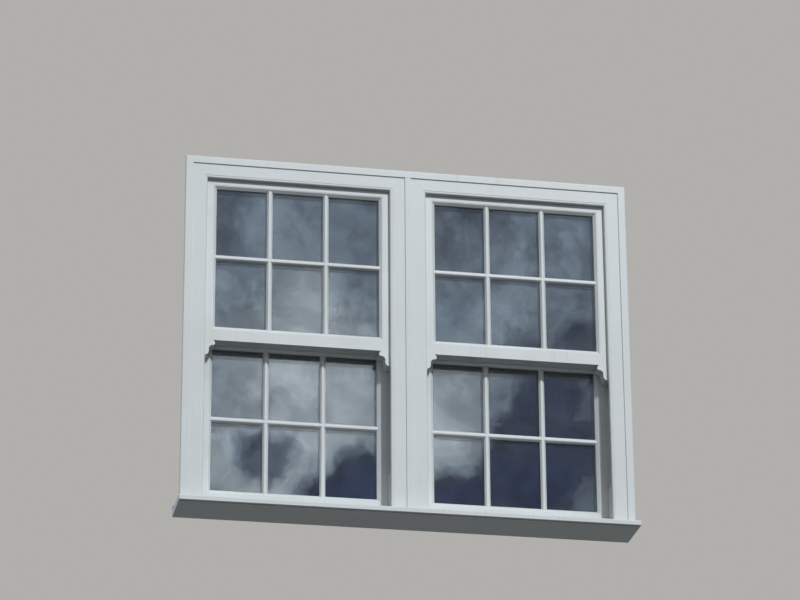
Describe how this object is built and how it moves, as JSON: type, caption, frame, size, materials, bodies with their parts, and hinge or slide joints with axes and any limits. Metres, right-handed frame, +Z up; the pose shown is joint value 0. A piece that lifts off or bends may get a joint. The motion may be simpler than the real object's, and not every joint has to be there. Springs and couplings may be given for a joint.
{
  "type": "coupled vertical sliding sash window",
  "caption": "White vertical sliding sash windows coupled side by side, Georgian bars, run-through horns, cam fasteners, slim trims and a projecting sill.",
  "frame": {"origin": "middle of the window's length, on the flat underside of the sill, at the plane of the frames' outer face", "axes": "+X to the right seen from outside, +Y into the building, +Z up"},
  "size_m": [1.724, 0.214, 1.403],
  "materials": {
    "pvc_white": "satin",
    "glass": "polished",
    "spacer_aluminium": "satin",
    "pile_grey": "brushed pile",
    "nylon_grey": "matt",
    "nylon_white": "matt",
    "balance_grey": "satin",
    "hardware_white": "powder coat"
  },
  "bodies": {
    "outer_frame": {"sill": "pvc_white", "sill_end_caps": "pvc_white", "left_frame": "pvc_white", "right_frame": "pvc_white", "mullion_coupler": "pvc_white", "mullion_cover_outer": "pvc_white", "mullion_cover_inner": "pvc_white", "left_trim": "pvc_white", "right_trim": "pvc_white", "head_trim": "pvc_white", "track_stop_blocks": "pvc_white", "balance_tubes": "balance_grey"},
    "upper_left_sash": {"upper_left_sash": "pvc_white", "upper_left_glass": "glass", "upper_left_spacer": "spacer_aluminium", "upper_left_beads": "pvc_white", "upper_left_glazing_bars": "pvc_white", "upper_left_pile_seals": "pile_grey", "upper_left_balance_carriages": "nylon_grey", "upper_left_horns": "pvc_white", "upper_left_keeps": "hardware_white"},
    "upper_left_left_latch": {"upper_left_left_latch": "nylon_white"},
    "upper_left_right_latch": {"upper_left_right_latch": "nylon_white"},
    "lower_left_sash": {"lower_left_sash": "pvc_white", "lower_left_glass": "glass", "lower_left_spacer": "spacer_aluminium", "lower_left_beads": "pvc_white", "lower_left_glazing_bars": "pvc_white", "lower_left_pile_seals": "pile_grey", "lower_left_balance_carriages": "nylon_grey", "lower_left_fastener_bases": "hardware_white", "lower_left_lifts": "hardware_white"},
    "lower_left_left_latch": {"lower_left_left_latch": "nylon_white"},
    "lower_left_left_arm": {"lower_left_left_arm": "hardware_white"},
    "lower_left_right_latch": {"lower_left_right_latch": "nylon_white"},
    "lower_left_right_arm": {"lower_left_right_arm": "hardware_white"},
    "upper_right_sash": {"upper_right_sash": "pvc_white", "upper_right_glass": "glass", "upper_right_spacer": "spacer_aluminium", "upper_right_beads": "pvc_white", "upper_right_glazing_bars": "pvc_white", "upper_right_pile_seals": "pile_grey", "upper_right_balance_carriages": "nylon_grey", "upper_right_horns": "pvc_white", "upper_right_keeps": "hardware_white"},
    "upper_right_left_latch": {"upper_right_left_latch": "nylon_white"},
    "upper_right_right_latch": {"upper_right_right_latch": "nylon_white"},
    "lower_right_sash": {"lower_right_sash": "pvc_white", "lower_right_glass": "glass", "lower_right_spacer": "spacer_aluminium", "lower_right_beads": "pvc_white", "lower_right_glazing_bars": "pvc_white", "lower_right_pile_seals": "pile_grey", "lower_right_balance_carriages": "nylon_grey", "lower_right_fastener_bases": "hardware_white", "lower_right_lifts": "hardware_white"},
    "lower_right_left_latch": {"lower_right_left_latch": "nylon_white"},
    "lower_right_left_arm": {"lower_right_left_arm": "hardware_white"},
    "lower_right_right_latch": {"lower_right_right_latch": "nylon_white"},
    "lower_right_right_arm": {"lower_right_right_arm": "hardware_white"}
  },
  "joints": [
    {"name": "upper_left_slide", "type": "slide", "parent": "outer_frame", "child": "upper_left_sash", "axis": [0, 0, -1], "range_m": [0, 0.409]},
    {"name": "upper_left_left_latch_slide", "type": "slide", "parent": "upper_left_sash", "child": "upper_left_left_latch", "axis": [1, 0, 0], "range_m": [0, 0.009], "stiffness_N_per_m": 400, "springref_m": -0.004},
    {"name": "upper_left_right_latch_slide", "type": "slide", "parent": "upper_left_sash", "child": "upper_left_right_latch", "axis": [-1, 0, 0], "range_m": [0, 0.009], "stiffness_N_per_m": 400, "springref_m": -0.004},
    {"name": "lower_left_slide", "type": "slide", "parent": "outer_frame", "child": "lower_left_sash", "axis": [0, 0, 1], "range_m": [0, 0.5]},
    {"name": "lower_left_left_latch_slide", "type": "slide", "parent": "lower_left_sash", "child": "lower_left_left_latch", "axis": [1, 0, 0], "range_m": [0, 0.009], "stiffness_N_per_m": 400, "springref_m": -0.004},
    {"name": "lower_left_left_arm_hinge", "type": "hinge", "parent": "lower_left_sash", "child": "lower_left_left_arm", "pos_m": [-0.632, 0.105, 0.723], "axis": [0, 0, 1], "range_deg": [-90, 0]},
    {"name": "lower_left_right_latch_slide", "type": "slide", "parent": "lower_left_sash", "child": "lower_left_right_latch", "axis": [-1, 0, 0], "range_m": [0, 0.009], "stiffness_N_per_m": 400, "springref_m": -0.004},
    {"name": "lower_left_right_arm_hinge", "type": "hinge", "parent": "lower_left_sash", "child": "lower_left_right_arm", "pos_m": [-0.208, 0.105, 0.723], "axis": [0, 0, -1], "range_deg": [-90, 0]},
    {"name": "upper_right_slide", "type": "slide", "parent": "outer_frame", "child": "upper_right_sash", "axis": [0, 0, -1], "range_m": [0, 0.409]},
    {"name": "upper_right_left_latch_slide", "type": "slide", "parent": "upper_right_sash", "child": "upper_right_left_latch", "axis": [1, 0, 0], "range_m": [0, 0.009], "stiffness_N_per_m": 400, "springref_m": -0.004},
    {"name": "upper_right_right_latch_slide", "type": "slide", "parent": "upper_right_sash", "child": "upper_right_right_latch", "axis": [-1, 0, 0], "range_m": [0, 0.009], "stiffness_N_per_m": 400, "springref_m": -0.004},
    {"name": "lower_right_slide", "type": "slide", "parent": "outer_frame", "child": "lower_right_sash", "axis": [0, 0, 1], "range_m": [0, 0.5]},
    {"name": "lower_right_left_latch_slide", "type": "slide", "parent": "lower_right_sash", "child": "lower_right_left_latch", "axis": [1, 0, 0], "range_m": [0, 0.009], "stiffness_N_per_m": 400, "springref_m": -0.004},
    {"name": "lower_right_left_arm_hinge", "type": "hinge", "parent": "lower_right_sash", "child": "lower_right_left_arm", "pos_m": [0.208, 0.105, 0.723], "axis": [0, 0, 1], "range_deg": [-90, 0]},
    {"name": "lower_right_right_latch_slide", "type": "slide", "parent": "lower_right_sash", "child": "lower_right_right_latch", "axis": [-1, 0, 0], "range_m": [0, 0.009], "stiffness_N_per_m": 400, "springref_m": -0.004},
    {"name": "lower_right_right_arm_hinge", "type": "hinge", "parent": "lower_right_sash", "child": "lower_right_right_arm", "pos_m": [0.632, 0.105, 0.723], "axis": [0, 0, -1], "range_deg": [-90, 0]}
  ]
}
